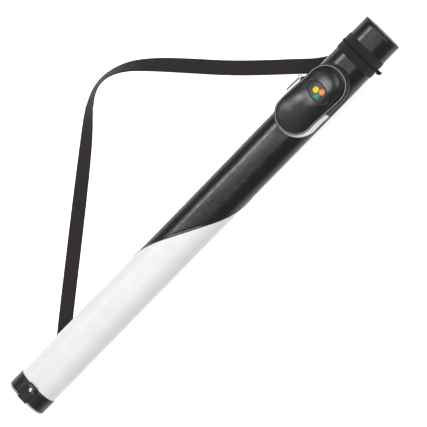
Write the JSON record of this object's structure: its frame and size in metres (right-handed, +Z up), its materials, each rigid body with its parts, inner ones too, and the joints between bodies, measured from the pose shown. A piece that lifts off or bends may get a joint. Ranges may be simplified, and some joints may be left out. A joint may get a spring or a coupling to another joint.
{
  "type": "cue case",
  "caption": "Hard oval tube case for a two-piece cue, with a zipped hinged lid, a domed zip pouch and a webbing shoulder strap.",
  "frame": {"origin": "centre of the flat underside of the boot band, on the surface that the case lies on", "axes": "+X along the case from the bottom end to the lid, +Z up out of the pouch's front, +Y to the side that the strap lies on"},
  "size_m": [0.85, 0.3398, 0.0782],
  "materials": {
    "white_leatherette": "satin",
    "black_leatherette": "satin",
    "boot_vinyl": "satin",
    "grey_piping": "gloss",
    "bright_metal": "polished",
    "dark_metal": "gloss",
    "rigid_liner": "matte",
    "foam": "foam",
    "pads": "matte",
    "felt": "felt",
    "zip_tape": "woven",
    "zip_teeth": "satin",
    "webbing": "woven",
    "badge_face": "gloss",
    "badge_rim": "gloss"
  },
  "bodies": {
    "case": {"base_plate": "boot_vinyl", "base_piping": "grey_piping", "boot_band": "boot_vinyl", "boot_binding": "boot_vinyl", "bottom_loop": "boot_vinyl", "loop_rivet": "bright_metal", "butt_tube": "rigid_liner", "shaft_tube": "rigid_liner", "butt_end_pad": "pads", "shaft_end_pad": "pads", "tube_filler": "foam", "mouth_plate": "felt", "butt_rim": "rigid_liner", "shaft_rim": "rigid_liner", "lower_skin": "white_leatherette", "upper_skin": "black_leatherette", "zip_teeth_body": "zip_teeth", "zip_tape_body": "zip_tape", "hinge_gusset": "zip_tape", "pouch_gusset_lower": "white_leatherette", "pouch_gusset_upper": "black_leatherette", "pouch_zip_tape_inner": "zip_tape", "pouch_teeth_inner": "zip_teeth", "pouch_base_piping": "grey_piping", "pouch_piping_lower": "grey_piping", "pouch_front_lower": "black_leatherette", "strap_anchor_top": "black_leatherette", "strap_anchor_bottom": "black_leatherette", "anchor_rivets": "bright_metal", "shoulder_strap": "webbing"},
    "lid": {"lid_skin": "black_leatherette", "lid_filler": "foam", "lid_face_plate": "felt", "lid_butt_socket": "rigid_liner", "lid_shaft_socket": "rigid_liner", "lid_butt_rim": "rigid_liner", "lid_shaft_rim": "rigid_liner", "lid_butt_pad": "pads", "lid_shaft_pad": "pads", "lid_top_plate": "black_leatherette", "lid_piping": "boot_vinyl", "zip_tape_lid": "zip_tape", "zip_teeth_lid": "zip_teeth"},
    "lid_zip_slider": {"lid_slider": "dark_metal"},
    "lid_zip_pull": {"lid_pull": "dark_metal"},
    "pouch_flap": {"pouch_front_upper": "black_leatherette", "pouch_piping_upper": "grey_piping", "badge": "badge_face", "badge_border": "badge_rim", "pouch_zip_tape_outer": "zip_tape", "pouch_teeth_outer": "zip_teeth", "pouch_flap_gusset": "black_leatherette"},
    "pouch_zip_slider": {"pouch_slider": "dark_metal"},
    "pouch_zip_pull": {"pouch_pull_ring": "dark_metal", "pouch_pull_tab": "dark_metal"}
  },
  "joints": [
    {"name": "lid_hinge", "type": "hinge", "parent": "case", "child": "lid", "pos_m": [0.7802, 0, -0.005], "axis": [0, 1, 0], "range_deg": [0, 180], "deforming": ["hinge_gusset"]},
    {"name": "lid_slider_travel", "type": "hinge", "parent": "case", "child": "lid_zip_slider", "pos_m": [0.7802, -0.0115, 0.026], "axis": [1, 0, 0], "range_deg": [-88, 20]},
    {"name": "lid_pull_swing", "type": "hinge", "parent": "lid_zip_slider", "child": "lid_zip_pull", "pos_m": [0.7802, -0.04195, 0.026], "axis": [1, 0, 0], "range_deg": [-165, 0]},
    {"name": "pouch_flap_hinge", "type": "hinge", "parent": "case", "child": "pouch_flap", "pos_m": [0.6762, 0, 0.077], "axis": [0, -1, 0], "range_deg": [0, 70]},
    {"name": "pouch_slider_travel", "type": "slide", "parent": "case", "child": "pouch_zip_slider", "axis": [1, 0, 0], "range_m": [0, 0.014]},
    {"name": "pouch_pull_swing", "type": "hinge", "parent": "pouch_zip_slider", "child": "pouch_zip_pull", "pos_m": [0.6902, 0.0401, 0.06], "axis": [0, 0, 1], "range_deg": [-150, 0]}
  ]
}
